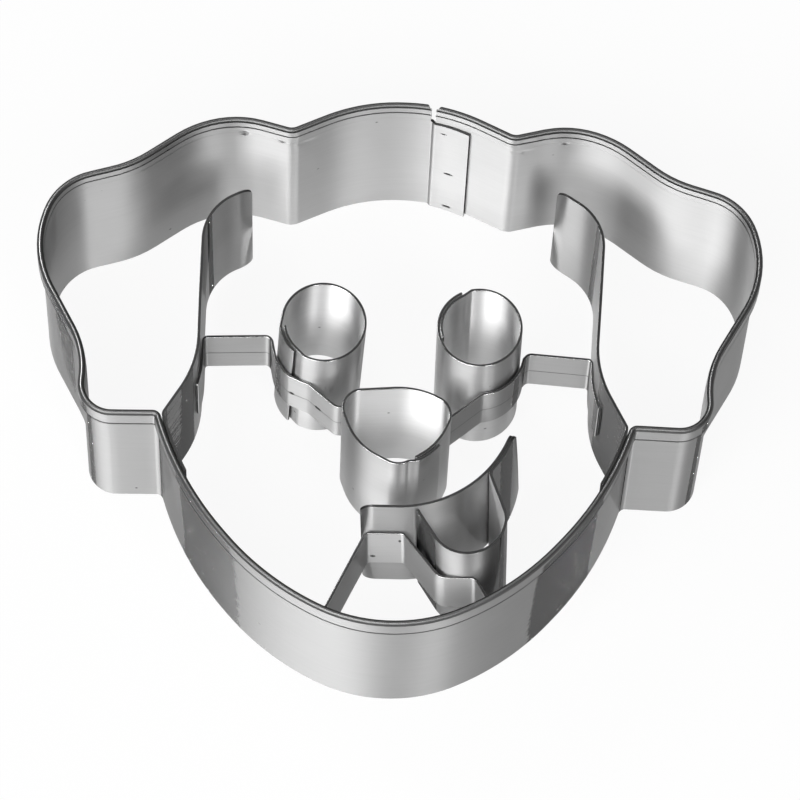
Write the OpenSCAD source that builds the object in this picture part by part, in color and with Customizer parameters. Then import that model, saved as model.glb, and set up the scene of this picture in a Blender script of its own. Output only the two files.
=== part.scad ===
// Dog-head cookie cutter: an outer cutting band with a rolled rim, and nine inner strips
// that print the face. Every piece is bent from thin steel strip and spot welded.
// The cutting edge lies on z = 0, the chin points to -Y and the closing seam is at +Y.

/* [Outer band] */
// Width over both ears, outside the rolled rim
cutter_w = 79; // [70:0.5:110]
// Length from the chin to the crown, outside the rolled rim
cutter_l = 61.2; // [55:0.1:85]
// Height of the band from the cutting edge to the top of the rim
band_h = 25; // [22:0.5:32]
// Thickness of the band's sheet
sheet_t = 0.3; // [0.2:0.05:0.5]
// How far the rolled rim comes down the outside
hem_h = 2.8; // [2:0.1:4]
// Thickness of the rolled rim, from the inner face out
hem_t = 0.8; // [0.7:0.05:1.3]
// Place of the closing seam, to the right of the centre line
seam_x = 2.8; // [0:0.1:3.5]
// Gap between the two ends of the rim at the seam
seam_gap = 0.7; // [0.3:0.1:1.5]
// Length of the end tab that lies inside the other end
seam_lap = 4.6; // [3:0.1:6]

/* [Inner strips] */
// Thickness of the inner strips
strip_t = 0.3; // [0.2:0.05:0.45]
// How far the inner strips' lower edges stay above the cutting edge
recess_low = 3.7; // [2:0.1:6]
// How far the inner strips' tops stay below the rim's top
recess_top = 0.8; // [0.3:0.1:3]
// Height of the narrow strips that carry the eyes, the nose and the mouth
carrier_h = 8.2; // [5:0.1:12]
// Clearance between two faces that are welded together
weld_gap = 0.04; // [0.02:0.01:0.1]
// Length of the tab that holds each ear strip to the band
ear_tab_l = 7.4; // [4:0.1:8]
// Length of the tab that holds the face bridge to each ear strip
bridge_tab_l = 5.8; // [3:0.1:7]
// Length of the tab that holds each leg of the chin bracket to the band
chin_tab_l = 4; // [2:0.1:5]
// Radius of the free corners of the ear strips and the mouth
corner_r = 1.5; // [0.5:0.1:2]

/* [Face] */
// Outer diameter of the eye rings
eye_d = 9.3; // [8:0.1:10.5]
// Clearance between the eye rings and the face bridge
eye_gap = 0.2; // [0.15:0.01:0.3]
// Lapped length of the left eye's seam
left_eye_lap = 3.3; // [1:0.1:7]
// Lapped length of the right eye's seam
right_eye_lap = 6.4; // [1:0.1:7]
// Lapped length of the nose's seam
nose_lap = 2.9; // [2:0.1:5]
// Gap between the two layers at the seams of the eyes and the nose
lap_gap = 0.15; // [0.05:0.01:0.25]
// Radius of the mouth's curve
mouth_r = 12.6; // [11.5:0.1:13.5]
// How much longer the mouth's free end is at its lower edge
mouth_slant = 2.2; // [0:0.1:3]
// Sideways and forward lean of the welded mouth, tongue and chin bracket, in degrees
mouth_lean = 1.7; // [0:0.1:2]

/* [Hidden] */
arc_step = 6;
rim_step = 0.04;
sliver = 0.01;
steel = [0.78, 0.78, 0.77];

// Heights that several pieces share
inner_z0 = recess_low;
inner_z1 = band_h - recess_top;
inner_h = inner_z1 - inner_z0;
inner_mid = (inner_z0 + inner_z1) / 2;
seat = strip_t + weld_gap;

// Corners [x, y, bend radius] of the band's inner face on the right, from the crown to the chin
notch_corner = [25.3, -6.6, 1.1];
cheek_corners = [[22.7, -14.6, 35], [13.3, -25.4, 30], [4, -29.8, 17.5]];
ear_corners = [[4.5, 29.8, 19], [12.1, 26.2, 2.2], [18.2, 27.8, 10.2], [22.9, 26.4, 11.5],
    [29.3, 21.7, 13.2], [37, 19.4, 6.2], [39.7, 11.75, 10.9], [33.2, 0, 11], [33.7, -6.8, 2.9]];
crown_y = ear_corners[0][1];
chin_y = last(cheek_corners)[1];

// Points of the inner strips' middle lines, in the same drawing as the band
left_ear_points = [[-16.4, 20, 0], [-21.5, 17.4, 6], [-21.5, -1, 12]];
right_ear_points = [[17.1, 20.9, 0], [22.3, 17.5, 6], [21.6, -0.4, 12]];
left_eye_at = [-8.3, 4.45];
right_eye_at = [8.95, 4.05];
left_eye_lean = [0.5, 1.6];
right_eye_lean = [-1.6, -0.4];
nose_corners = [[0.5, -12.1, 2.3], [4.75, -9.45, 7], [6.5, -5, 2.2], [2.4, -2.8, 9.2],
    [-6.5, -3.6, 2.1], [-4.15, -9.7, 8.6]];
nose_seam_s = 4.5;
bridge_left_y = 4.75;
bridge_right_y = 3.5;
bridge_left_corner = [-13.75, 5.1, 0.8];
bridge_right_corner = [14.4, 3.95, 0.8];
bridge_slack = 0.2;
bridge_nose_points = [[-6.4, -3, 1], [3.1, -2.6, 3], [5.8, -4, 0.7]];
mouth_centre = [0.8, -4.4];
mouth_left_x = -3.2;
mouth_end_angle = -17;
tongue_points = [[12.6, -18, 3], [11.7, -21.75, 4.2], [6.3, -22.55, 3.9]];
tongue_root_x = 3;
tongue_tab_angle = -40.5;
mouth_pivot = [4.5, -15];
chin_flat_x = [-2.65, 1.45];
chin_right_x = [5.4, 9.25];
chin_leg_x = [-7.8, 11.5];
chin_gap = 0.2;
left_eye_seam = 187;
left_eye_spring = 0.2;
right_eye_seam = 198;
full_turn = 360;
eye_lap_step = 12;
eye_turn_end = 346;
left_seat_start = [192, 230];
left_seat_end = [244, 256];
right_seat = [-84, -8];

// Distances along a strip where its tab's bend starts and ends, and the bends' radii
band_step = [0.15, 0.6];
ear_heel = [0.3, 1.2];
ear_heel_r = 0.8;
foot_step = 0.9;
bridge_heel_r = 0.5;
chin_heel_r = 0.6;
tongue_heel_r = 0.7;
chin_flat_r = 0.7;
chin_right_r = [1.6, 0.8];

// The band's corners as drawn, and the factors that bring them to the stated size
drawn_half = concat([[0, crown_y]], ear_corners, [notch_corner], cheek_corners, [[0, chin_y]]);
drawn_w = 2 * max([for (p = rounded([for (c = drawn_half) [c[0], c[1], len(c) > 2 ? c[2] : 0]])) p[0]]);
kx = (cutter_w - 2 * hem_t) / drawn_w;
ky = (cutter_l - 2 * hem_t) / (crown_y - chin_y);

function xy(p) = [p[0], p[1]];
function place(p) = [p[0] * kx, p[1] * ky, len(p) > 2 ? p[2] : 0];
function place_all(points) = [for (p = points) place(p)];
function unit(v) = v / norm(v);
function flip(path) = [for (i = [len(path) - 1 : -1 : 0]) path[i]];
function mirror_x(path) = [for (p = path) [-p[0], p[1], len(p) > 2 ? p[2] : 0]];
function last(path) = path[len(path) - 1];

// Half of the angle that an outline turns by at its corner b
function half_turn(a, b, c) =
    let(cosine = unit(xy(b) - xy(a)) * unit(xy(c) - xy(b))) acos(min(1, max(-1, cosine))) / 2;

// Length that each corner's bend takes from its two legs
function bend_legs(c) = [for (i = [0 : len(c) - 1])
    i == 0 || i == len(c) - 1 ? 0 : c[i][2] * tan(half_turn(c[i - 1], c[i], c[i + 1]))];

// Share of a bend's radius that fits on the leg between corners i and j
function leg_share(c, legs, i, j) =
    let(sum = legs[i] + legs[j]) sum == 0 ? 1 : min(1, norm(xy(c[i]) - xy(c[j])) / sum);

// Points of the bend at corner b, for the radius r
function bend(a, b, c, r) =
    let(half = half_turn(a, b, c))
    r <= 0 || half < 0.3 ? [xy(b)] :
    let(
        u = unit(xy(a) - xy(b)),
        w = unit(xy(c) - xy(b)),
        middle = xy(b) + unit(u + w) * r / cos(half),
        start = xy(b) + u * r * tan(half) - middle,
        a0 = atan2(start[1], start[0]),
        sweep = cross(u, w) > 0 ? -2 * half : 2 * half,
        steps = ceil(2 * half / arc_step))
    [for (k = [0 : steps]) middle + r * [cos(a0 + sweep * k / steps), sin(a0 + sweep * k / steps)]];

// The path without points that fall on the one before
function spaced(path) =
    [for (i = [0 : len(path) - 1]) if (i == 0 || norm(path[i] - path[max(0, i - 1)]) > sliver) path[i]];

// An open outline with every corner rounded to its bend radius
function rounded(c) =
    let(legs = bend_legs(c))
    spaced([for (i = [0 : len(c) - 1])
        let(ends = i == 0 || i == len(c) - 1)
        for (p = ends ? [xy(c[i])] : bend(c[i - 1], c[i], c[i + 1],
            c[i][2] * min(leg_share(c, legs, i - 1, i), leg_share(c, legs, i, i + 1)))) p]);

// A closed outline that starts and ends in the middle of its first leg
function rounded_ring(c) =
    let(middle = (xy(c[0]) + xy(last(c))) / 2) rounded(concat([middle], c, [middle]));

function arc(centre, r, a0, a1) =
    let(steps = max(1, ceil(abs(a1 - a0) / arc_step)))
    [for (k = [0 : steps]) centre + r * [cos(a0 + (a1 - a0) * k / steps), sin(a0 + (a1 - a0) * k / steps)]];

// The path moved sideways to its left by d
function leftward(path, d) =
    let(n = len(path))
    [for (i = [0 : n - 1])
        let(
            u = unit(path[i] - path[max(0, i - 1)] + (i == 0 ? path[1] - path[0] : [0, 0])),
            w = unit(path[min(n - 1, i + 1)] - path[i] + (i == n - 1 ? path[i] - path[i - 1] : [0, 0])),
            across = unit([-u[1] - w[1], u[0] + w[0]]))
        path[i] + across * d / (across * [-u[1], u[0]])];

// Distance along the path of each of its points
function travelled(path) =
    [for (i = 0, s = 0; i < len(path); s = s + (i + 1 < len(path) ? norm(path[i + 1] - path[i]) : 0), i = i + 1) s];

// The point at the distance s along the path
function point_at(path, s) =
    let(
        d = travelled(path),
        i = min(len(path) - 2, max([for (k = [0 : len(path) - 2]) d[k] <= s ? k : 0])))
    path[i] + (path[i + 1] - path[i]) * (s - d[i]) / (d[i + 1] - d[i]);

// The stretch of the path from the distance s0 to s1
function stretch(path, s0, s1) =
    let(d = travelled(path))
    concat([point_at(path, s0)],
        [for (k = [0 : len(path) - 1]) if (d[k] > s0 + sliver && d[k] < s1 - sliver) path[k]],
        [point_at(path, s1)]);

// Distance along a path that runs down, where it passes the height y
function reach_y(path, y) =
    let(
        d = travelled(path),
        hits = [for (k = [0 : len(path) - 2]) if (path[k][1] >= y && path[k + 1][1] < y)
            d[k] + (path[k][1] - y) / (path[k][1] - path[k + 1][1]) * (d[k + 1] - d[k])])
    hits[0];

// The band's inner face, all round, starting and ending at the crown
half_line = rounded(place_all(drawn_half));
band_line = concat([for (i = [0 : len(half_line) - 2]) half_line[i]], flip(mirror_x(half_line)));
band_flat = [for (p = band_line) xy(p)];
band_round = last(travelled(band_flat));

// The inner face from an ear's notch towards the chin, and the line of a tab on it
cheek_line = rounded(place_all(concat([notch_corner], cheek_corners, [[0, chin_y]])));
tab_line = leftward(cheek_line, -(strip_t / 2 + weld_gap));

// A wall of strip between the two sides of a path
module wall(path, left, right, z0, z1) {
    translate([0, 0, z0])
        linear_extrude(z1 - z0)
            polygon(concat(leftward(path, left), flip(leftward(path, -right))));
}

module strip(path, z0, z1) {
    wall(path, strip_t / 2, strip_t / 2, z0, z1);
}

// What is cut off a strip at the start of its path, so that the end gets round corners. The
// lower corner may stand out further than the upper one.
module end_cut(path, low_r, top_r, slant = 0) {
    outward = unit(path[0] - path[1]);
    reach = 2 * corner_r;
    translate([path[0][0], path[0][1], 0])
        rotate([0, 0, atan2(outward[1], outward[0])])
            rotate([90, 0, 0])
                linear_extrude(4 * strip_t, center = true)
                    difference() {
                        translate([-corner_r, inner_z0 - 1])
                            square([reach + corner_r + slant, inner_h + 2]);
                        polygon(concat(
                            [[-reach, inner_z0 - 2], [slant - low_r, inner_z0 - 2]],
                            arc([slant - low_r, inner_z0 + low_r], low_r, -90, 0),
                            arc([-top_r, inner_z1 - top_r], top_r, 0, 90),
                            [[-top_r, inner_z1 + 2], [-reach, inner_z1 + 2]]));
                    }
}

// The path goes clockwise, so its left side is the outside of the band. The tab at its end
// steps inwards by one sheet and is cut off below the rolled rim, whose outer leaf hangs free.
module outer_band() {
    twice_round = concat(band_flat, [for (i = [1 : len(band_flat) - 1]) band_flat[i]]);
    s0 = seam_x + seam_gap;
    s1 = band_round + seam_x;
    wall_line = stretch(twice_round, s0, s1);
    tab = concat(
        [point_at(twice_round, s1 + band_step[0])],
        leftward(stretch(twice_round, s1 + band_step[1], s1 + seam_lap), -sheet_t - weld_gap));
    tab_top = band_h - hem_h - weld_gap;
    past_tab = last(tab) + unit(last(tab) - tab[len(tab) - 2]);
    rim_line = stretch(twice_round, s0 + rim_step, s1 - rim_step);
    roof_line = stretch(twice_round, s0 + 2 * rim_step, s1 - 2 * rim_step);
    top_line = stretch(twice_round, s0 + 4 * rim_step, s1 - 4 * rim_step);
    leaf_top = band_h - sheet_t;
    color(steel)
        union() {
            difference() {
                wall(concat(wall_line, tab), sheet_t, 0, 0, leaf_top);
                wall(concat([last(wall_line)], tab, [past_tab]),
                    sheet_t + weld_gap / 2, sheet_t, tab_top, band_h);
            }
            wall(rim_line, hem_t, sheet_t - hem_t, band_h - hem_h, leaf_top);
            wall(roof_line, hem_t - rim_step, -rim_step, leaf_top - 2 * rim_step, band_h - 2 * rim_step);
            wall(top_line, hem_t - 4 * rim_step, -4 * rim_step, leaf_top, band_h);
        }
}

// The middle line of an ear strip: its free end, its bends, then the tab on the band.
function ear_line(points, side) =
    let(
        tab = side < 0 ? [for (p = mirror_x(tab_line)) xy(p)] : tab_line,
        heel = point_at(tab, ear_heel[0]))
    rounded(concat(place_all(points), [[heel[0], heel[1], ear_heel_r]],
        [for (p = stretch(tab, ear_heel[1], ear_tab_l)) [p[0], p[1], 0]]));

module ear_strip(points, side) {
    path = ear_line(points, side);
    color(steel)
        difference() {
            strip(path, inner_z0, inner_z1);
            end_cut(path, corner_r, corner_r);
        }
}

module left_ear_strip() {
    ear_strip(left_ear_points, -1);
}

module right_ear_strip() {
    ear_strip(right_ear_points, 1);
}

// An eye is one turn of strip that ends in a lap over its own start, which is set inwards.
// It turns to the left or to the right, so its way round is given as 1 or -1. The spring is
// how far the outer end stands out of the circle.
function eye_line(seam, lap, way, spring) =
    let(r = eye_d / 2 - strip_t / 2, lap_angle = lap / r * 180 / PI)
    concat(arc([0, 0], r + spring - strip_t - lap_gap, seam, seam + way * lap_angle),
        arc([0, 0], r, seam + way * (lap_angle + eye_lap_step), seam + way * eye_turn_end),
        arc([0, 0], r + spring, seam + way * full_turn, seam + way * (full_turn + lap_angle)));

module eye_ring(at, lean, seam, lap, way, spring) {
    color(steel)
        translate([at[0] * kx, at[1] * ky, inner_mid])
            rotate([lean[0], lean[1], 0])
                strip(eye_line(seam, lap, way, spring), -inner_h / 2, inner_h / 2);
}

module left_eye_ring() {
    eye_ring(left_eye_at, left_eye_lean, left_eye_seam, left_eye_lap, 1, left_eye_spring);
}

module right_eye_ring() {
    eye_ring(right_eye_at, right_eye_lean, right_eye_seam, right_eye_lap, -1, 0);
}

// The nose is one turn of strip too, with its lap on the lower right side.
module nose_ring() {
    ring = rounded_ring(place_all(nose_corners));
    around = last(travelled(ring));
    twice_round = concat(ring, [for (i = [1 : len(ring) - 1]) ring[i]]);
    s0 = nose_seam_s * kx;
    lap = stretch(twice_round, s0 + around, s0 + around + nose_lap);
    color(steel)
        strip(concat(stretch(twice_round, s0, s0 + around - foot_step), leftward(lap, -strip_t - lap_gap)),
            inner_z0, inner_z1);
}

function bridge_tab(line, y, side) =
    let(face = leftward(line, -side * seat), s = reach_y(face, y * ky), heel = point_at(face, s))
    concat([[heel[0], heel[1], bridge_heel_r]],
        [for (p = stretch(face, s + foot_step, s + bridge_tab_l)) [p[0], p[1], 0]]);

// The bridge's way round the front of an eye ring, between two angles. It may stand off a little
function eye_seat(at, angles, slack = 0) =
    let(r = eye_d / 2 + slack + eye_gap + strip_t / 2)
    [for (p = arc(xy(place(at)), r, angles[0], angles[1])) [p[0], p[1], 0]];

module face_bridge() {
    left_tab = bridge_tab(ear_line(left_ear_points, -1), bridge_left_y, -1);
    right_tab = bridge_tab(ear_line(right_ear_points, 1), bridge_right_y, 1);
    path = rounded(concat(
        flip(left_tab), [place(bridge_left_corner)],
        eye_seat(left_eye_at, left_seat_start, bridge_slack), eye_seat(left_eye_at, left_seat_end),
        place_all(bridge_nose_points),
        eye_seat(right_eye_at, right_seat), [place(bridge_right_corner)], right_tab));
    color(steel)
        strip(path, inner_mid - carrier_h / 2, inner_mid + carrier_h / 2);
}

// The mouth, the tongue and the chin bracket are welded together and lean as one: their
// lower edges stand out to the front and to the right.
module leaning() {
    pivot = [mouth_pivot[0] * kx, mouth_pivot[1] * ky, inner_mid];
    translate(pivot)
        rotate([-mouth_lean, -mouth_lean, 0])
            translate(-pivot)
                children();
}

function mouth_arc(out, a0, a1) = arc(xy(place(mouth_centre)), mouth_r + out, a0, a1);

mouth_tip_angle = mouth_end_angle + mouth_slant / mouth_r * 180 / PI;

module mouth_strip() {
    path = concat(
        flip(mouth_arc(0, -90, mouth_tip_angle)),
        [[mouth_left_x * kx, mouth_arc(0, -90, -90)[0][1]]]);
    color(steel)
        leaning()
            difference() {
                strip(path, inner_z0, inner_z1);
                end_cut(stretch(path, mouth_slant, last(travelled(path))), strip_t, corner_r, mouth_slant);
                end_cut(flip(path), corner_r, corner_r);
            }
}

// The tongue starts with a tab on the mouth's front face and ends against the same face.
function tongue_line() =
    let(
        tab = mouth_arc(seat, mouth_tip_angle, tongue_tab_angle),
        heel = last(tab),
        centre = xy(place(mouth_centre)),
        root_x = tongue_root_x * kx,
        root_y = centre[1] - sqrt(pow(mouth_r + seat, 2) - pow(root_x - centre[0], 2)) - strip_t / 2)
    rounded(concat([for (i = [0 : len(tab) - 2]) [tab[i][0], tab[i][1], 0]], [[heel[0], heel[1], tongue_heel_r]],
        place_all(tongue_points), [[root_x, root_y, 0]]));

module tongue_strip() {
    path = tongue_line();
    color(steel)
        leaning()
            difference() {
                strip(path, inner_z0, inner_z1);
                end_cut(stretch(path, mouth_slant, last(travelled(path))), strip_t, corner_r, mouth_slant);
            }
}

// Distance along the cheek, from the ear's notch to the height over the chin at x
function cheek_s(x) =
    let(d = travelled(cheek_line), hits = [for (k = [0 : len(cheek_line) - 2])
        if (cheek_line[k][0] >= x && cheek_line[k + 1][0] < x)
            d[k] + (cheek_line[k][0] - x) / (cheek_line[k][0] - cheek_line[k + 1][0]) * (d[k + 1] - d[k])])
    hits[0];

// A leg's heel and its tab, which points up the cheek
function chin_foot(x) =
    let(line = leftward(cheek_line, -strip_t / 2 - chin_gap), s = cheek_s(x), heel = point_at(line, s))
    concat([[heel[0], heel[1], chin_heel_r]],
        [for (p = flip(stretch(line, s - chin_tab_l, s - foot_step))) [p[0], p[1], 0]]);

module chin_bracket() {
    flat_y = mouth_arc(seat, -90, -90)[0][1];
    tongue_y = min([for (p = tongue_line()) p[1]]) - seat;
    left_foot = mirror_x(chin_foot(-chin_leg_x[0] * kx));
    path = rounded(concat(
        flip(left_foot),
        [for (x = chin_flat_x) [x * kx, flat_y, chin_flat_r]],
        [for (i = [0, 1]) [chin_right_x[i] * kx, tongue_y, chin_right_r[i]]],
        chin_foot(chin_leg_x[1] * kx)));
    color(steel)
        leaning()
            strip(path, inner_mid - carrier_h / 2, inner_mid + carrier_h / 2);
}

outer_band();
left_ear_strip();
right_ear_strip();
left_eye_ring();
right_eye_ring();
nose_ring();
face_bridge();
mouth_strip();
tongue_strip();
chin_bracket();
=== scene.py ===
"""A dog-head cookie cutter of thin stainless strip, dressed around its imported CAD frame.

Sizes are in millimetres, turned into metres by MM, and in the studio in metres. Every strip is cut
as a flat blank, bent along its line and given its gauge, in the order in which the cutter is put
together.
"""

import bisect
import math

import bmesh
import bpy
from mathutils import Matrix, Vector, noise


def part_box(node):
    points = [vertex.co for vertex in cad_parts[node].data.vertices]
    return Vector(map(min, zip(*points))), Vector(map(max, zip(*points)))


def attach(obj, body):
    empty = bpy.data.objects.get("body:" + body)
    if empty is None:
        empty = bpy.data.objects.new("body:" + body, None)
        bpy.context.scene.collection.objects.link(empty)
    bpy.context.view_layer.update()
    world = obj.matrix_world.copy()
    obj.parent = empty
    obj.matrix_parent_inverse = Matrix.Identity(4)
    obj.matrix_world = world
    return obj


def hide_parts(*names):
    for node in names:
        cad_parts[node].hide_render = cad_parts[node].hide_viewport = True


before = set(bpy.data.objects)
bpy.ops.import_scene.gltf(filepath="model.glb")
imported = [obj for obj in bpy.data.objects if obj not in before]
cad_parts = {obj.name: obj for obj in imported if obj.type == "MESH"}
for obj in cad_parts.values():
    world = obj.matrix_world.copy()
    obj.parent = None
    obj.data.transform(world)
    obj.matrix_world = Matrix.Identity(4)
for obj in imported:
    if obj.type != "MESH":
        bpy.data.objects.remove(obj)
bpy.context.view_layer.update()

# The outer cutting band
# One strip of stainless sheet, bent on a former to the outline of the head. Its top is folded
# outwards and down into a safe rolled rim. Its ends lap at the crown, where three welds close it.
MM = 0.001
band_height = 25.0
band_gauge = 0.3
rim_depth = 2.8
rim_width = 0.8
seam_place = 3.0
seam_open = 0.5
seam_corner = 0.55
seam_corner_length = 2.0
seam_lap = 4.6
weld_clearance = 0.04
worn_edge = 0.06
press_line = 23.7
# A strip this wide along the pressed line is painted dark, a painted dark reflection of the bend
press_wide = 0.3
joggle_start = 0.1
joggle_length = 0.5
tab_spring = 0.12
spring_start = 0.6
spring_length = 4.0
# The last strip of the leaf, this deep, is painted dark: painted shade for the gap under its edge
leaf_shade_depth = 0.3

# The wall leans out in two soft steps: by a share of the lean at the hem, and by the rest at the
# pressed line
rim_lean = 0.1
hem_share = 0.3
hem_rise = 0.3
press_rise = 0.9

# Where the burnished part of the roll starts and ends, as shares of the way round the fold. On
# either side of it the roll is painted dark, a painted dark reflection
roll_edges = (0.42, 0.58)

# Corners (x, y, bend radius) of the inner face on the right-hand side, from crown to chin
crown = (0, 29.8)
chin = (0, -29.8)
right_ear = [(4.5, 29.8, 19), (12.1, 26.2, 2.2), (18.2, 27.8, 10.2), (22.9, 26.4, 11.5),
             (29.3, 21.7, 13.2), (37, 19.4, 6.2), (39.7, 11.75, 10.9), (33.2, 0, 11), (33.7, -6.8, 2.9)]
ear_notch = (25.3, -6.6, 1.1)
right_cheek = [(22.7, -14.6, 35), (13.3, -25.4, 30), (4, -29.8, 17.5)]

# A bend whose half turns by fewer degrees stays a corner, and points closer than this are one
least_half_bend = 0.3
same_place = 0.004


def bent(corners, turn=1.5):
    """The line of a strip that is bent at each corner (x, y, bend radius). Where two bends don't
    fit on the leg between them, both get tighter."""
    spots = [Vector(c[:2]) for c in corners]
    last = len(spots) - 1
    halves = [0.0] * len(spots)
    for i in range(1, last):
        halves[i] = (spots[i] - spots[i - 1]).angle(spots[i + 1] - spots[i]) / 2
    radii = [c[2] if len(c) > 2 else 0.0 for c in corners]
    takes = [r * math.tan(h) for r, h in zip(radii, halves)]

    def share(i, j):
        total = takes[i] + takes[j]
        return 1.0 if total == 0 else min(1.0, (spots[i] - spots[j]).length / total)

    line = []
    for i, spot in enumerate(spots):
        if i in (0, last) or radii[i] <= 0 or halves[i] < math.radians(least_half_bend):
            line.append(spot)
            continue
        radius = radii[i] * min(share(i - 1, i), share(i, i + 1))
        back = (spots[i - 1] - spot).normalized()
        ahead = (spots[i + 1] - spot).normalized()
        centre = spot + (back + ahead).normalized() * radius / math.cos(halves[i])
        start = spot + back * radius * math.tan(halves[i]) - centre
        way = -1 if back.x * ahead.y - back.y * ahead.x > 0 else 1
        steps = math.ceil(math.degrees(2 * halves[i]) / turn)
        for k in range(steps + 1):
            line.append(centre + Matrix.Rotation(way * 2 * halves[i] * k / steps, 2) @ start)
    return [p for k, p in enumerate(line) if k == 0 or (p - line[k - 1]).length > same_place]


class StripLine:
    """The line that a strip follows, seen from above, by the distance along it."""

    def __init__(self, points):
        self.points = [Vector(p[:2]) for p in points]
        self.reach = [0.0]
        for a, b in zip(self.points, self.points[1:]):
            self.reach.append(self.reach[-1] + (b - a).length)
        self.length = self.reach[-1]
        ways = [(b - a).normalized() for a, b in zip(self.points, self.points[1:])]
        lefts = [Vector((-w.y, w.x)) for w in ways]
        self.lefts = [lefts[0]] + [(a + b).normalized() for a, b in zip(lefts, lefts[1:])] + [lefts[-1]]

    def spot(self, along):
        """The point at that distance, and the way to its left."""
        i = min(max(bisect.bisect_right(self.reach, along) - 1, 0), len(self.points) - 2)
        part = (along - self.reach[i]) / (self.reach[i + 1] - self.reach[i])
        point = self.points[i].lerp(self.points[i + 1], part)
        left = self.lefts[i].lerp(self.lefts[i + 1], min(max(part, 0), 1)).normalized()
        return point, left

    def part(self, start, end):
        """The stretch of the line between two distances, as points."""
        nearest = 0.01
        inner = [p for p, s in zip(self.points, self.reach) if start + nearest < s < end - nearest]
        return [self.spot(start)[0]] + inner + [self.spot(end)[0]]

    def shifted(self, left):
        """The line moved sideways, as points. Bends stay whole, as on a drawing."""
        moved = []
        for i, p in enumerate(self.points):
            a = self.points[max(0, i - 1)]
            b = self.points[min(len(self.points) - 1, i + 1)]
            leg = (p - a) if i else (b - p)
            square = Vector((-leg.y, leg.x)).normalized()
            moved.append(p + self.lefts[i] * left / self.lefts[i].dot(square))
        return moved


def evenly(start, end, step):
    """Places from start to end, no further apart than a step."""
    count = max(1, math.ceil(abs(end - start) / step))
    return [start + (end - start) * k / count for k in range(count + 1)]


def joined(*runs):
    """Runs of rising places, without the doubles where one run ends and the next begins."""
    places = []
    for place in sorted(p for run in runs for p in run):
        if not places or place - places[-1] > same_place:
            places.append(place)
    return places


def stepped(*stops):
    """Rising places through stops (place, step up to the next stop)."""
    return joined(*[evenly(a, b, step) for (a, step), (b, _) in zip(stops, stops[1:])])


def paced(line, start, end, step, turn):
    """Places along a strip, a step apart, or closer where it bends by so many degrees."""
    trial_step = 0.05
    places, faced = [start], line.spot(start)[1]
    for along in evenly(start, end, trial_step)[1:-1]:
        left = line.spot(along)[1]
        if along - places[-1] >= step or math.degrees(left.angle(faced)) >= turn:
            places.append(along)
            faced = left
    return places + [end]


def dented(along, up, dents):
    """How far out a place is pushed by soft ovals (along, up, half length, half height, depth)."""
    return sum(depth * math.exp(-((along - a) / wide) ** 2 - ((up - u) / high) ** 2)
               for a, u, wide, high, depth in dents)


# Places in the list of the finishes of each side of a strip. The band has the fourth, on the leaf
# behind its rim
face_finish, cut_and_shade_finish, worn_finish, leaf_finish = range(4)

# A millimetre of the flat strip in its UV map, which the rolling lines follow
map_scale = 0.01


def sheet_piece(name, nodes, along, up, formed, gauge, right_side, left_side, cut=None, finish_at=None):
    """A flat blank with the places along and up it, cut, formed by the function formed(along, up)
    into the piece, and given its gauge and its worn edges. The first finish of each side is on its
    face, unless finish_at(along, up) names another. The second is on the cut edges, and the third
    on the worn edges."""
    columns, rows = len(along) - 1, len(up) - 1
    bm = bmesh.new()
    bmesh.ops.create_grid(bm, x_segments=columns, y_segments=rows, size=0.5)
    for v in bm.verts:
        v.co.x = along[round((v.co.x + 0.5) * columns)]
        v.co.y = up[round((v.co.y + 0.5) * rows)]
    if cut:
        waste = [f for f in bm.faces if cut(f.calc_center_median().x, f.calc_center_median().y)]
        bmesh.ops.delete(bm, geom=waste, context="FACES")
    flat = bm.loops.layers.uv.new("strip")
    for face in bm.faces:
        if finish_at:
            face.material_index = finish_at(face.calc_center_median().x, face.calc_center_median().y)
        for loop in face.loops:
            loop[flat].uv = loop.vert.co.xy * map_scale
    for v in bm.verts:
        v.co = Vector(formed(v.co.x, v.co.y)) * MM
    bm.normal_update()
    for face in bm.faces:
        face.smooth = True
    mesh = bpy.data.meshes.new(name)
    bm.to_mesh(mesh)
    bm.free()
    piece = bpy.data.objects.new(name, mesh)
    bpy.context.scene.collection.objects.link(piece)
    thick = piece.modifiers.new("gauge", "SOLIDIFY")
    thick.thickness = gauge * MM
    thick.offset = 0
    thick.material_offset = len(right_side)
    thick.material_offset_rim = cut_and_shade_finish
    edges = piece.modifiers.new("worn_edges", "BEVEL")
    edges.width = worn_edge * MM
    edges.segments = 2
    edges.limit_method = "ANGLE"
    edges.angle_limit = math.radians(50)
    edges.harden_normals = True
    edges.material = worn_finish
    for finish in right_side + left_side:
        mesh.materials.append(finish)
    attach(piece, "root")
    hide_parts(*nodes)


def eased(t):
    """A soft step from 0 to 1."""
    t = min(max(t, 0.0), 1.0)
    return t * t * (3 - 2 * t)


def uneven(along, up, seed, deep, broad):
    """How far a hand-finished strip stands off its true line at a place: long soft waves, drawn
    out up the strip."""
    drawn_up = 2.2
    return deep * noise.noise(Vector((along / broad, up / (drawn_up * broad), seed)))


def grey(shade):
    return shade, shade, shade, 1


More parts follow.
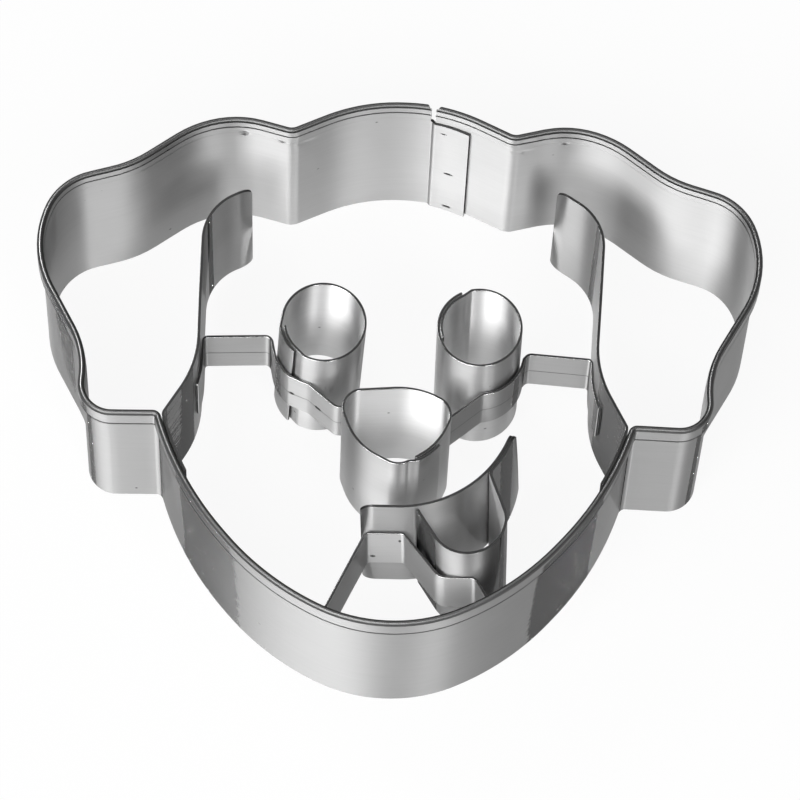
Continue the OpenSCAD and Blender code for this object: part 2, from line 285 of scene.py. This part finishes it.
def steel_finish(name, shade, edge_shade, gloss, brushed, polish, polish_gloss):
    """Bright-rolled stainless strip. Its fine rolling lines run along the strip and draw broad
    reflections out across it, while the polish over them mirrors what stands close by. Its shade
    varies along the rolling lines and its gloss in soft clouds, and it has small dark specks."""
    material = bpy.data.materials.new(name)
    material.use_nodes = True
    nodes, links = material.node_tree.nodes, material.node_tree.links
    shader = nodes["Principled BSDF"]
    shader.inputs["Metallic"].default_value = 1.0
    shader.inputs["Specular Tint"].default_value = grey(edge_shade)
    shader.inputs["Coat Weight"].default_value = polish
    shader.inputs["Coat IOR"].default_value = 2.5
    shader.inputs["Coat Roughness"].default_value = polish_gloss
    if brushed:
        shader.inputs["Anisotropic"].default_value = brushed
        shader.inputs["Anisotropic Rotation"].default_value = 0.25
        lengthwise = nodes.new("ShaderNodeTangent")
        lengthwise.direction_type = "UV_MAP"
        lengthwise.uv_map = "strip"
        links.new(lengthwise.outputs["Tangent"], shader.inputs["Tangent"])
    place = nodes.new("ShaderNodeTexCoord")
    clouds = nodes.new("ShaderNodeTexNoise")
    clouds.inputs["Scale"].default_value = 160.0
    clouds.inputs["Detail"].default_value = 3.0
    links.new(place.outputs["Object"], clouds.inputs["Vector"])
    tone = nodes.new("ShaderNodeMapRange")
    tone.inputs["From Min"].default_value = 0.3
    tone.inputs["From Max"].default_value = 0.7
    tone.inputs["To Min"].default_value = gloss * 0.94
    tone.inputs["To Max"].default_value = gloss * 1.06
    links.new(clouds.outputs["Fac"], tone.inputs["Value"])
    links.new(tone.outputs["Result"], shader.inputs["Roughness"])
    colours = nodes.new("ShaderNodeMix")
    colours.data_type = "RGBA"
    colours.inputs["A"].default_value = grey(shade * 0.95)
    colours.inputs["B"].default_value = grey(shade * 1.05)
    lines = nodes.new("ShaderNodeUVMap")
    lines.uv_map = "strip"
    drawn_out = nodes.new("ShaderNodeMapping")
    drawn_out.inputs["Scale"].default_value = (1.0, 16.0, 1.0)
    links.new(lines.outputs["UV"], drawn_out.inputs["Vector"])
    rolling = nodes.new("ShaderNodeTexNoise")
    rolling.inputs["Scale"].default_value = 12.0
    rolling.inputs["Detail"].default_value = 4.0
    links.new(drawn_out.outputs["Vector"], rolling.inputs["Vector"])
    links.new(rolling.outputs["Fac"], colours.inputs["Factor"])
    dust = nodes.new("ShaderNodeTexVoronoi")
    dust.inputs["Scale"].default_value = 210.0
    links.new(place.outputs["Object"], dust.inputs["Vector"])
    speck = nodes.new("ShaderNodeMapRange")
    speck.inputs["From Min"].default_value = 0.02
    speck.inputs["From Max"].default_value = 0.045
    links.new(dust.outputs["Distance"], speck.inputs["Value"])
    specked = nodes.new("ShaderNodeMix")
    specked.data_type = "RGBA"
    specked.inputs["A"].default_value = grey(shade * 0.3)
    links.new(speck.outputs["Result"], specked.inputs["Factor"])
    links.new(colours.outputs["Result"], specked.inputs["B"])
    links.new(specked.outputs["Result"], shader.inputs["Base Color"])
    grit = nodes.new("ShaderNodeTexNoise")
    grit.inputs["Scale"].default_value = 3000.0
    grit.inputs["Detail"].default_value = 2.0
    links.new(place.outputs["Object"], grit.inputs["Vector"])
    bump = nodes.new("ShaderNodeBump")
    bump.inputs["Strength"].default_value = 0.05
    bump.inputs["Distance"].default_value = 0.00002
    links.new(grit.outputs["Fac"], bump.inputs["Height"])
    links.new(bump.outputs["Normal"], shader.inputs["Normal"])
    return material


band_steel = steel_finish("band_steel", shade=0.45, edge_shade=0.0, gloss=0.56,
                          brushed=1.0, polish=0.22, polish_gloss=0.1)
# The band's inner faces and one side of the chin bracket are satin, and their lighter shade is partly
# painted light, brightening faces that the lamps reach less
satin_painted_light_steel = steel_finish("satin_painted_light_steel", shade=0.6, edge_shade=0.15, gloss=0.62,
                           brushed=1.0, polish=0.16, polish_gloss=0.12)
# Dark steel of the sheared cut edges, which are dark of their own. It also paints the lines of painted
# shade and painted dark reflection on the band and the face bridge
cut_and_shade_steel = steel_finish("cut_and_shade_steel", shade=0.15, edge_shade=0.2, gloss=0.4,
                         brushed=0.0, polish=0.0, polish_gloss=0.1)
roll_steel = steel_finish("roll_steel", shade=0.6, edge_shade=0.3, gloss=0.29,
                          brushed=0.0, polish=0.0, polish_gloss=0.06)

# The outline is spread so that the rim fills the box of the CAD node
half_drawn = [crown] + right_ear + [ear_notch] + right_cheek + [chin]
widest = max(p.x for p in bent(half_drawn, turn=6))
scale_x = (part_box("outer_band")[1].x / MM - rim_width) / widest
scale_y = (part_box("outer_band")[1].y / MM - rim_width) / crown[1]


def placed(corner):
    return (corner[0] * scale_x, corner[1] * scale_y) + tuple(corner[2:])


half_line = bent([placed(c) for c in half_drawn])
round_line = half_line[:-1] + [Vector((-p.x, p.y)) for p in reversed(half_line)]
around = StripLine(round_line).length
band_line = StripLine(round_line + round_line[1:])

# Along the band: the two ends of the rim at the seam, and the end of the tab
rim_start = seam_place + seam_open
rim_end = around + seam_place
tab_end = rim_end + seam_lap

# Up the blank: the foot of the rim, the pressed line, the fold and the leaf behind the rim, which
# has finer rows near its edge
hem_low = band_height - rim_depth
tab_top = hem_low - weld_clearance
press_low = press_line - press_wide / 2
press_high = press_line + press_wide / 2
fold_radius = (rim_width - band_gauge - rim_lean) / 2
fold_start = band_height - band_gauge / 2 - fold_radius
fold_length = math.pi * fold_radius
burnish_start = fold_start + roll_edges[0] * fold_length
burnish_end = fold_start + roll_edges[1] * fold_length
leaf_start = fold_start + fold_length
leaf_end = leaf_start + fold_start - hem_low
leaf_fine = leaf_end - 0.5
leaf_shade_start = leaf_end - leaf_shade_depth

# Oval marks of the spot welds, the puckers that the rim has at both creases, and dents of the
# tool under the rim: (along, up, half length, half height, depth)
weld_marks = [(rim_end + 1.6, 20.2, 0.4, 0.15, 0.03), (rim_end + 2.4, 10.0, 0.55, 0.24, 0.05),
              (rim_end + 2.4, 1.1, 0.6, 0.28, 0.06)]
puckers = [(13.9, 24.0, 0.8, 0.35, 0.06), (13.4, 21.6, 1.1, 0.4, 0.08), (12.0, 22.9, 0.7, 0.4, -0.05),
           (around - 13.2, 23.2, 0.8, 0.4, 0.06), (around - 11.6, 21.5, 1.1, 0.4, 0.07)]
tool_marks = [(around - 18.2, 22.1, 0.5, 0.6, 0.12), (around - 14.0, 22.1, 0.4, 0.25, 0.08),
              (18.5, 22.1, 0.4, 0.3, 0.08)]


def band_form(along, up):
    """The wall, its rolled rim and the joggled tab that lies inside the other end. The rim's two
    corners at the seam are cut, up to the whole cut where the fold ends."""
    out = band_gauge / 2
    height = up
    if up > leaf_start:
        out += rim_lean + 2 * fold_radius
        height = fold_start - (up - fold_start - fold_length)
    elif up > fold_start:
        turned = (up - fold_start) / fold_radius
        out += rim_lean + fold_radius * (1 - math.cos(turned))
        height = fold_start + fold_radius * math.sin(turned)
    else:
        out += rim_lean * (hem_share * eased((up - hem_low) / hem_rise)
                           + (1 - hem_share) * eased((up - press_line) / press_rise))
        out += dented(along, up, weld_marks + puckers + tool_marks)
    out -= (band_gauge + weld_clearance) * eased((along - rim_end - joggle_start) / joggle_length)
    out -= tab_spring * eased((along - rim_end - spring_start) / spring_length)
    if up < fold_start:
        wave_fade = 3.0
        free = eased(up / wave_fade) * eased((hem_low - up) / wave_fade)
        out += free * uneven(along, up, seed=3.1, deep=0.04, broad=9.0)
    if up > fold_start:
        corner = seam_corner * min((up - fold_start) / fold_length, 1)
        near_start = 1 - eased((along - rim_start) / seam_corner_length)
        near_end = 1 - eased((rim_end - along) / seam_corner_length)
        along += corner * near_start - corner * near_end
    spot, left = band_line.spot(along)
    spot = spot + left * out
    return spot.x, spot.y, height


def marked(along, up, marks):
    """Whether a place lies within the oval of one of the marks."""
    return any(((along - m[0]) / m[2]) ** 2 + ((up - m[1]) / m[3]) ** 2 < 1 for m in marks)


def band_finish(along, up):
    """The roll is burnished between its two edges, and so are the tool marks. Both edges of the
    roll are painted dark, a painted dark reflection, and so is the pressed line inside, at its bend.
    The last strip of the leaf is painted shade, for the gap under its edge, and the weld marks are
    dark."""
    rolled = (up - fold_start) / fold_length
    if 0 < rolled < 1:
        # The roll's two edges take the dark steel: a painted dark reflection
        return worn_finish if roll_edges[0] < rolled < roll_edges[1] else cut_and_shade_finish
    if rolled > 1:
        # The leaf's last strip is painted shade, for the gap under its edge
        return cut_and_shade_finish if up > leaf_shade_start else leaf_finish
    if marked(along, up, tool_marks):
        return worn_finish
    # The pressed line is painted dark, a painted dark reflection of the bend; the weld marks are dark
    dark = marked(along, up, weld_marks) or abs(up - press_line) < press_wide / 2
    return cut_and_shade_finish if dark else face_finish


def around_dents(places, dents, wanted):
    """The places, with more of them across each oval, so that its edge comes out smooth. wanted is
    0 for places along the strip, three to a half length, and 1 for places up it, two to a half
    height."""
    return joined(places, *[evenly(d[wanted] - 2 * d[wanted + 2], d[wanted] + 2 * d[wanted + 2],
                                   d[wanted + 2] / (3 - wanted)) for d in dents])


# The columns are closer together across the joggle, and the rows where the strip is bent or marked
joggle_reach = 0.8
band_columns = joined(paced(band_line, rim_start, rim_end, step=0.9, turn=5.0),
                      stepped((rim_end, 0.1), (rim_end + joggle_reach, 0.12), (tab_end, 0)))
band_columns = around_dents(band_columns, puckers + tool_marks, 0)
band_rows = stepped((0, 1.6), (hem_low, 0.25), (press_low, 0.15), (press_high, 0.12), (fold_start, 0.05),
                    (burnish_start, 0.05), (burnish_end, 0.05), (leaf_start, 0.5), (leaf_fine, 0.1),
                    (leaf_shade_start, 0.1), (leaf_end, 0))
band_rows = around_dents(band_rows, weld_marks + tool_marks, 1)
band_rows = joined([p for p in band_rows if p >= 0], [tab_top])
sheet_piece("cutting_band", ["outer_band"], band_columns, band_rows, band_form, band_gauge,
            [satin_painted_light_steel, cut_and_shade_steel, roll_steel, band_steel],
            [band_steel, cut_and_shade_steel, roll_steel, band_steel],
            finish_at=band_finish, cut=lambda along, up: along > rim_end and up > tab_top)

# The two ear strips
# A lower strip for each ear's edge, which prints the line between ear and head. It has two soft
# bends and is welded to the band at the cheek by a short tab. Its upper end is free, with rounded
# corners.
strip_gauge = 0.3
strip_low = 3.7
strip_high = 24.2
free_corner = 1.5
ear_tab = 7.4
ear_heel = 0.3
ear_heel_bend = 0.8
ear_heel_end = 1.2
slant_length = 6.0
shade_line_half = 0.07
strip_steel = steel_finish("strip_steel", shade=0.5, edge_shade=0.0, gloss=0.54,
                           brushed=1.0, polish=0.2, polish_gloss=0.07)
worn_steel = steel_finish("worn_steel", shade=0.8, edge_shade=0.5, gloss=0.16,
                          brushed=0.0, polish=0.0, polish_gloss=0.06)

cheek_line = StripLine(bent([placed(c) for c in [ear_notch] + right_cheek + [chin]]))
tab_line = StripLine(cheek_line.shifted(-(strip_gauge / 2 + weld_clearance)))


def mirrored(points):
    return [Vector((-p[0], p[1])) for p in points]


def ear_path(corners, side):
    """From the free end through the corners to the heel of the tab, and along the band's cheek."""
    tab = tab_line if side > 0 else StripLine(mirrored(tab_line.points))
    heel = tab.spot(ear_heel)[0]
    return StripLine(bent([placed(c) for c in corners] + [(heel.x, heel.y, ear_heel_bend)]
                          + [(p.x, p.y, 0) for p in tab.part(ear_heel_end, ear_tab)]))


def end_columns(radius):
    """Places along a rounded end, closer together where its corner is steep."""
    return [radius * (1 - math.cos(math.radians(a))) for a in range(0, 91, 6)]


def corner_cut(along, up, low, high, low_radius, high_radius):
    """Where a point of the blank goes at the start of a strip with two rounded corners."""
    bottom, top = low, high
    along = max(along, 0.0)
    if along < low_radius:
        bottom += low_radius - math.sqrt(low_radius ** 2 - (low_radius - along) ** 2)
    if along < high_radius:
        top -= high_radius - math.sqrt(high_radius ** 2 - (high_radius - along) ** 2)
    return bottom + (up - low) / (high - low) * (top - bottom)


def strip_form(path, low, high, start, end, slant, seed, deep, place):
    """Forms a blank along a path. start and end hold the radii of the lower and upper corner, and
    slant is how much further the start reaches at the lower edge."""
    def formed(along, up):
        height = corner_cut(along, up, low, high, *start) if start != (0, 0) else up
        if end != (0, 0):
            height = corner_cut(path.length - along, height, low, high, *end)
        part = (height - low) / (high - low)
        reach = along + slant * part * (1 - eased(along / slant_length))
        spot, left = path.spot(reach)
        spot = spot + left * uneven(along, height, seed, deep, broad=6.0)
        point = Vector((spot.x, spot.y, height))
        return place @ point if place else point
    return formed


def inner_strip(name, node, path, low=strip_low, high=strip_high, start=(0, 0), end=(0, 0), slant=0.0,
                seed=0.0, deep=0.03, place=None, right=strip_steel, left=strip_steel, dark_line=None,
                marks=()):
    """A strip inside the band, on edge from low to high. It can lean by the matrix place, and have
    a dark line across it and dark oval marks."""
    runs = [paced(path, 0, path.length, step=0.5, turn=4.0)]
    if max(start) > 0:
        runs.append(end_columns(max(start)))
    if max(end) > 0:
        runs.append([path.length - p for p in end_columns(max(end))])
    rows = evenly(low, high, 1.0)
    if dark_line:
        rows = joined(rows, [dark_line - shade_line_half, dark_line + shade_line_half])

    def strip_finish(along, up):
        # The dark line and marks take the dark steel; on the face bridge they are painted shade
        dark = marked(along, up, marks) or dark_line and abs(up - dark_line) < shade_line_half
        return cut_and_shade_finish if dark else face_finish

    sheet_piece(name, [node], around_dents(joined(*runs), marks, 0), around_dents(rows, marks, 1),
                strip_form(path, low, high, start, end, slant, seed, deep, place), strip_gauge,
                [right, cut_and_shade_steel, worn_steel], [left, cut_and_shade_steel, worn_steel], finish_at=strip_finish)


left_ear_path = ear_path([(-16.4, 20, 0), (-21.5, 17.4, 6), (-21.5, -1, 12)], -1)
right_ear_path = ear_path([(17.1, 20.9, 0), (22.3, 17.5, 6), (21.6, -0.4, 12)], 1)
rounded_corners = (free_corner, free_corner)
inner_strip("left_ear_edge", "left_ear_strip", left_ear_path, start=rounded_corners, seed=11.0)
inner_strip("right_ear_edge", "right_ear_strip", right_ear_path, start=rounded_corners, seed=12.0)

# The two eye rings
# Each eye is one turn of strip, welded where it laps over its own start, and it leans a little.
# It hangs on the front of its seat in the face bridge.
eye_across = 9.3
eye_blend = 14
lap_clearance = 0.15
left_eye_at = (-8.3, 4.45)
right_eye_at = (8.95, 4.05)
strip_middle = (strip_low + strip_high) / 2
ring_steel = steel_finish("ring_steel", shade=0.72, edge_shade=0.15, gloss=0.43,
                          brushed=1.0, polish=0.12, polish_gloss=0.05)
# The inner faces of the rings and one side of the mouth and tongue are satin, and their lighter shade is
# partly painted light, brightening the insides of the rings
inner_painted_light_steel = steel_finish("inner_painted_light_steel", shade=0.9, edge_shade=0.25, gloss=0.58,
                           brushed=1.0, polish=0.12, polish_gloss=0.08)


def arc_points(centre, radius, start, end, turn=1.5):
    """Points of an arc from one angle to another, no more than so many degrees apart."""
    steps = max(1, math.ceil(abs(end - start) / turn))
    angles = [math.radians(start + (end - start) * k / steps) for k in range(steps + 1)]
    return [Vector((centre[0] + radius * math.cos(a), centre[1] + radius * math.sin(a))) for a in angles]


def eye_path(seam, lap, way, spring, clearance):
    """Once round from the angle of the seam, and on over its own start by the length of the lap.
    The lapped start is set inwards, and the end can spring off it."""
    radius = eye_across / 2 - strip_gauge / 2
    lapped = math.degrees(lap / radius)
    return StripLine(
        arc_points((0, 0), radius + spring - strip_gauge - clearance, seam, seam + way * lapped)
        + arc_points((0, 0), radius, seam + way * (lapped + eye_blend), seam + way * (360 - eye_blend))
        + arc_points((0, 0), radius + spring, seam + way * 360, seam + way * (360 + lapped)))


def leaned(at, lean):
    """Moves an eye to its place and leans it, by two angles about x and y, at its middle height."""
    x, y = placed(at)
    return (Matrix.Translation((x, y, strip_middle)) @ Matrix.Rotation(math.radians(lean[1]), 4, "Y")
            @ Matrix.Rotation(math.radians(lean[0]), 4, "X") @ Matrix.Translation((0, 0, -strip_middle)))


left_eye_path = eye_path(seam=187, lap=3.3, way=1, spring=0.2, clearance=lap_clearance)
right_eye_path = eye_path(seam=198, lap=6.4, way=-1, spring=0, clearance=0.06)
inner_strip("left_eye", "left_eye_ring", left_eye_path, seed=21.0, deep=0.01,
            place=leaned(left_eye_at, (0.5, 1.6)), right=ring_steel, left=inner_painted_light_steel)
inner_strip("right_eye", "right_eye_ring", right_eye_path, seed=22.0, deep=0.01,
            place=leaned(right_eye_at, (-1.6, -0.4)), right=inner_painted_light_steel, left=ring_steel)

# The nose ring
# The nose is one turn of strip with three soft corners. Its ends lap on the lower right side,
# where they are welded.
nose_corners = [(0.5, -12.1, 2.3), (4.75, -9.45, 7), (6.5, -5, 2.2), (2.4, -2.8, 9.2),
                (-6.5, -3.6, 2.1), (-4.15, -9.7, 8.6)]
nose_seam = 4.5
nose_lap = 2.9
nose_blend = 0.9
drawn_nose = [placed(c) for c in nose_corners]
nose_start = ((drawn_nose[0][0] + drawn_nose[-1][0]) / 2, (drawn_nose[0][1] + drawn_nose[-1][1]) / 2)
nose_round = bent([nose_start] + drawn_nose + [nose_start])
nose_around = StripLine(nose_round).length
nose_twice = StripLine(nose_round + nose_round[1:])
seam_at = nose_seam * scale_x
nose_inner = StripLine(nose_twice.part(seam_at + nose_around, seam_at + nose_around + nose_lap))
nose_path = StripLine(nose_twice.part(seam_at, seam_at + nose_around - nose_blend)
                      + nose_inner.shifted(-strip_gauge - lap_clearance))
inner_strip("nose", "nose_ring", nose_path, seed=31.0, deep=0.015, right=ring_steel, left=inner_painted_light_steel)

# The face bridge
# A narrow strip that carries both eyes and the nose. It is bent round the front of each eye and
# behind the nose, and a tab at each end is welded to the ear strip.
carrier_height = 8.2
eye_clearance = 0.2
weld_offset = strip_gauge + weld_clearance
bridge_tab = 5.8
bridge_heel_bend = 0.5
heel_length = 0.9
carrier_low = strip_middle - carrier_height / 2
carrier_high = strip_middle + carrier_height / 2
shade_line_share = 0.53


def falls_below(line, axis, value):
    """How far along a line x (axis 0) or y (axis 1) first falls below a value."""
    crossing = next(k for k in range(len(line.points) - 1)
                    if line.points[k][axis] >= value > line.points[k + 1][axis])
    a, b = line.points[crossing], line.points[crossing + 1]
    return line.reach[crossing] + (a[axis] - value) / (a[axis] - b[axis]) * (b - a).length


def bridge_foot(path, y, side):
    """The tab on the face of an ear strip, from its heel at a height y of the drawing."""
    face = StripLine(path.shifted(-side * weld_offset))
    along = falls_below(face, 1, y * scale_y)
    heel = face.spot(along)[0]
    tab = face.part(along + heel_length, along + bridge_tab)
    return [(heel.x, heel.y, bridge_heel_bend)] + [(p.x, p.y, 0) for p in tab]


def eye_seat(at, start, end, slack=0.0):
    """The bend of the bridge round the front of an eye, between two angles."""
    radius = eye_across / 2 + slack + eye_clearance + strip_gauge / 2
    return [(p.x, p.y, 0) for p in arc_points(placed(at), radius, start, end, turn=6)]


bridge_path = StripLine(bent(
    bridge_foot(left_ear_path, 4.75, -1)[::-1] + [placed((-13.75, 5.1, 0.8))]
    + eye_seat(left_eye_at, 192, 230, slack=0.2) + eye_seat(left_eye_at, 244, 256)
    + [placed(c) for c in ((-6.4, -3, 1), (3.1, -2.6, 3), (5.8, -4, 0.7))]
    + eye_seat(right_eye_at, -84, -8) + [placed((14.4, 3.95, 0.8))]
    + bridge_foot(right_ear_path, 3.5, 1)))
# The dark line across the bridge is painted shade, where the lower edge of a folded-over layer would lie,
# and its two dashes are painted shadows of the small gaps under that edge
shade_line_height = carrier_high - shade_line_share * carrier_height
inner_strip("face_carrier", "face_bridge", bridge_path, carrier_low, carrier_high, seed=41.0,
            dark_line=shade_line_height, marks=[(18.4, shade_line_height, 0.4, 0.28), (21.9, shade_line_height, 0.45, 0.32)])

# The mouth and the tongue
# The mouth is a bent strip with a slanted free end. The tongue is a loop of strip, welded by a tab
# to the mouth's front face and ending against it. Both lean with the chin bracket.
mouth_centre = (0.8, -4.4)
mouth_radius = 12.6
mouth_left = -3.2
mouth_top_angle = -17
mouth_end_slant = 2.2
mouth_tip = mouth_top_angle + math.degrees(mouth_end_slant / mouth_radius)
tongue_tab_angle = -40.5
tongue_heel_bend = 0.7
tongue_left = 3
tongue_corners = [(12.6, -18, 3), (11.7, -21.75, 4.2), (6.3, -22.55, 3.9)]
lean_angle = math.radians(1.7)
lean_pivot = Vector((4.5 * scale_x, -15 * scale_y, strip_middle))
mouth_lean = (Matrix.Translation(lean_pivot) @ Matrix.Rotation(-lean_angle, 4, "Y")
              @ Matrix.Rotation(-lean_angle, 4, "X") @ Matrix.Translation(-lean_pivot))


def mouth_points(out, start, end):
    """Points of the mouth's arc between two angles, so far outside its line."""
    return arc_points(placed(mouth_centre), mouth_radius + out, start, end)


mouth_bottom = mouth_points(0, -90, -89)[0]
mouth_path = StripLine(mouth_points(0, mouth_tip, -90) + [Vector((mouth_left * scale_x, mouth_bottom.y))])
inner_strip("mouth", "mouth_strip", mouth_path, start=(strip_gauge, free_corner), end=rounded_corners,
            slant=mouth_end_slant, seed=51.0, place=mouth_lean, right=inner_painted_light_steel)

tongue_tab = mouth_points(weld_offset, mouth_tip, tongue_tab_angle)
tongue_x = tongue_left * scale_x
mouth_x, mouth_y = placed(mouth_centre)
seat_radius = mouth_radius + weld_offset
tongue_y = mouth_y - math.sqrt(seat_radius ** 2 - (tongue_x - mouth_x) ** 2) - strip_gauge / 2
tongue_path = StripLine(bent(
    [(p.x, p.y, 0) for p in tongue_tab[:-1]]
    + [(tongue_tab[-1].x, tongue_tab[-1].y, tongue_heel_bend)]
    + [placed(c) for c in tongue_corners] + [(tongue_x, tongue_y, 0)]))
inner_strip("tongue", "tongue_strip", tongue_path, start=(strip_gauge, free_corner),
            slant=mouth_end_slant, seed=52.0, place=mouth_lean, right=inner_painted_light_steel)

# The chin bracket
# A narrow strip like the bridge. It is welded to the fronts of the mouth and the tongue, and the
# tabs of its two legs are welded to the inside of the band at the chin.
foot_clearance = 0.2
chin_tab = 4.0
chin_heel_bend = 0.6
bracket_gap = 0.22


def chin_foot(x):
    """The heel of a leg at that x, and its tab on the inside of the band towards the ear."""
    face = StripLine(cheek_line.shifted(-strip_gauge / 2 - foot_clearance))
    along = falls_below(cheek_line, 0, x)
    heel = face.spot(along)[0]
    tab = face.part(along - chin_tab, along - heel_length)[::-1]
    return [(heel.x, heel.y, chin_heel_bend)] + [(p.x, p.y, 0) for p in tab]


bracket_y = mouth_points(weld_offset + bracket_gap, -90, -89)[0].y
tongue_front = min(p.y for p in tongue_path.points) - weld_offset
left_foot = [(-x, y, r) for x, y, r in chin_foot(7.8 * scale_x)]
bracket_path = StripLine(bent(
    left_foot[::-1]
    + [(-2.65 * scale_x, bracket_y, 0.7), (1.45 * scale_x, bracket_y, 0.7),
       (5.4 * scale_x, tongue_front, 1.6), (9.25 * scale_x, tongue_front, 0.8)]
    + chin_foot(11.5 * scale_x)))
inner_strip("chin_carrier", "chin_bracket", bracket_path, carrier_low, carrier_high, seed=61.0,
            place=mouth_lean, right=satin_painted_light_steel, marks=[(15.6, 11.75, 0.3, 0.28), (18.6, 16.1, 0.16, 0.3)])

# The studio
# A pale table under a dark ceiling, with three soft lamps in front for the walls and one at the
# back left for the rim's roll. The camera looks steeply down on the cutter from the front.


def stage_panel(name, width, height, shade):
    """A level matt square of one shade, that far above the ground."""
    bm = bmesh.new()
    bmesh.ops.create_grid(bm, x_segments=1, y_segments=1, size=width / 2)
    bmesh.ops.translate(bm, vec=(0, 0, height), verts=bm.verts)
    mesh = bpy.data.meshes.new(name)
    bm.to_mesh(mesh)
    bm.free()
    panel = bpy.data.objects.new(name, mesh)
    bpy.context.scene.collection.objects.link(panel)
    material = bpy.data.materials.new(name)
    material.use_nodes = True
    shader = material.node_tree.nodes["Principled BSDF"]
    shader.inputs["Base Color"].default_value = grey(shade)
    shader.inputs["Roughness"].default_value = 0.9
    shader.inputs["Specular IOR Level"].default_value = 0.0
    mesh.materials.append(material)
    return panel


table = stage_panel("table", width=6.0, height=0.0, shade=0.9)
stage_panel("ceiling", width=1.6, height=1.3, shade=0.03)


def show_background(material, share):
    """The camera and the metal see this share of the panel as plain white, and the rest with the
    cutter's shadow on it."""
    nodes, links = material.node_tree.nodes, material.node_tree.links
    rays = nodes.new("ShaderNodeLightPath")
    seen = nodes.new("ShaderNodeMath")
    links.new(rays.outputs["Is Camera Ray"], seen.inputs[0])
    links.new(rays.outputs["Is Glossy Ray"], seen.inputs[1])
    through = nodes.new("ShaderNodeMath")
    through.use_clamp = True
    links.new(seen.outputs["Value"], through.inputs[0])
    links.new(rays.outputs["Is Transmission Ray"], through.inputs[1])
    amount = nodes.new("ShaderNodeMath")
    amount.operation = "MULTIPLY"
    amount.inputs[1].default_value = share
    links.new(through.outputs["Value"], amount.inputs[0])
    white = nodes.new("ShaderNodeEmission")
    mixed = nodes.new("ShaderNodeMixShader")
    links.new(amount.outputs["Value"], mixed.inputs["Fac"])
    links.new(nodes["Principled BSDF"].outputs["BSDF"], mixed.inputs[1])
    links.new(white.outputs["Emission"], mixed.inputs[2])
    links.new(mixed.outputs["Shader"], nodes["Material Output"].inputs["Surface"])


show_background(table.data.materials[0], share=0.92)


def soft_lamp(name, place, width, height, watts):
    """A lamp with a lit rectangle that faces the cutter."""
    lamp = bpy.data.lights.new(name, "AREA")
    lamp.shape = "RECTANGLE"
    lamp.size = width
    lamp.size_y = height
    lamp.energy = watts
    holder = bpy.data.objects.new(name, lamp)
    bpy.context.scene.collection.objects.link(holder)
    holder.visible_camera = False
    holder.location = place
    holder.rotation_mode = "QUATERNION"
    holder.rotation_quaternion = (-Vector(place)).to_track_quat("-Z", "Y")


soft_lamp("front_lamp", (-0.32, -0.43, 0.6), width=0.56, height=0.3, watts=3.5)
soft_lamp("high_lamp", (-0.16, -0.3, 0.73), width=0.34, height=0.3, watts=1.7)
soft_lamp("left_lamp", (-0.33, 0.3, 0.67), width=0.18, height=0.22, watts=0.8)
soft_lamp("right_lamp", (0.19, -0.42, 0.62), width=0.12, height=0.3, watts=1.1)

world = bpy.data.worlds.new("studio")
world.use_nodes = True
world.node_tree.nodes["Background"].inputs["Color"].default_value = grey(0.2)
bpy.context.scene.world = world

# The camera's place, its turns, and the ways to the right and up in its picture
camera_place = (-0.00507, -0.2466, 0.6237)
look_round = math.radians(1.309)
look_down = math.radians(68.0)
look_roll = math.radians(3.084)
level = Vector((math.cos(look_round), -math.sin(look_round), 0))
rising = Vector((math.sin(look_round) * math.sin(look_down), math.cos(look_round) * math.sin(look_down),
                 math.cos(look_down)))
side_axis = level * math.cos(look_roll) + rising * math.sin(look_roll)
up_axis = rising * math.cos(look_roll) - level * math.sin(look_roll)
lens = bpy.data.cameras.new("camera")
lens.lens = 270
lens.sensor_width = 36
camera = bpy.data.objects.new("camera", lens)
bpy.context.scene.collection.objects.link(camera)
camera.matrix_world = Matrix.Translation(camera_place) @ Matrix(
    (side_axis, up_axis, side_axis.cross(up_axis))).transposed().to_4x4()
bpy.context.scene.camera = camera
bpy.context.scene.view_settings.view_transform = "Standard"
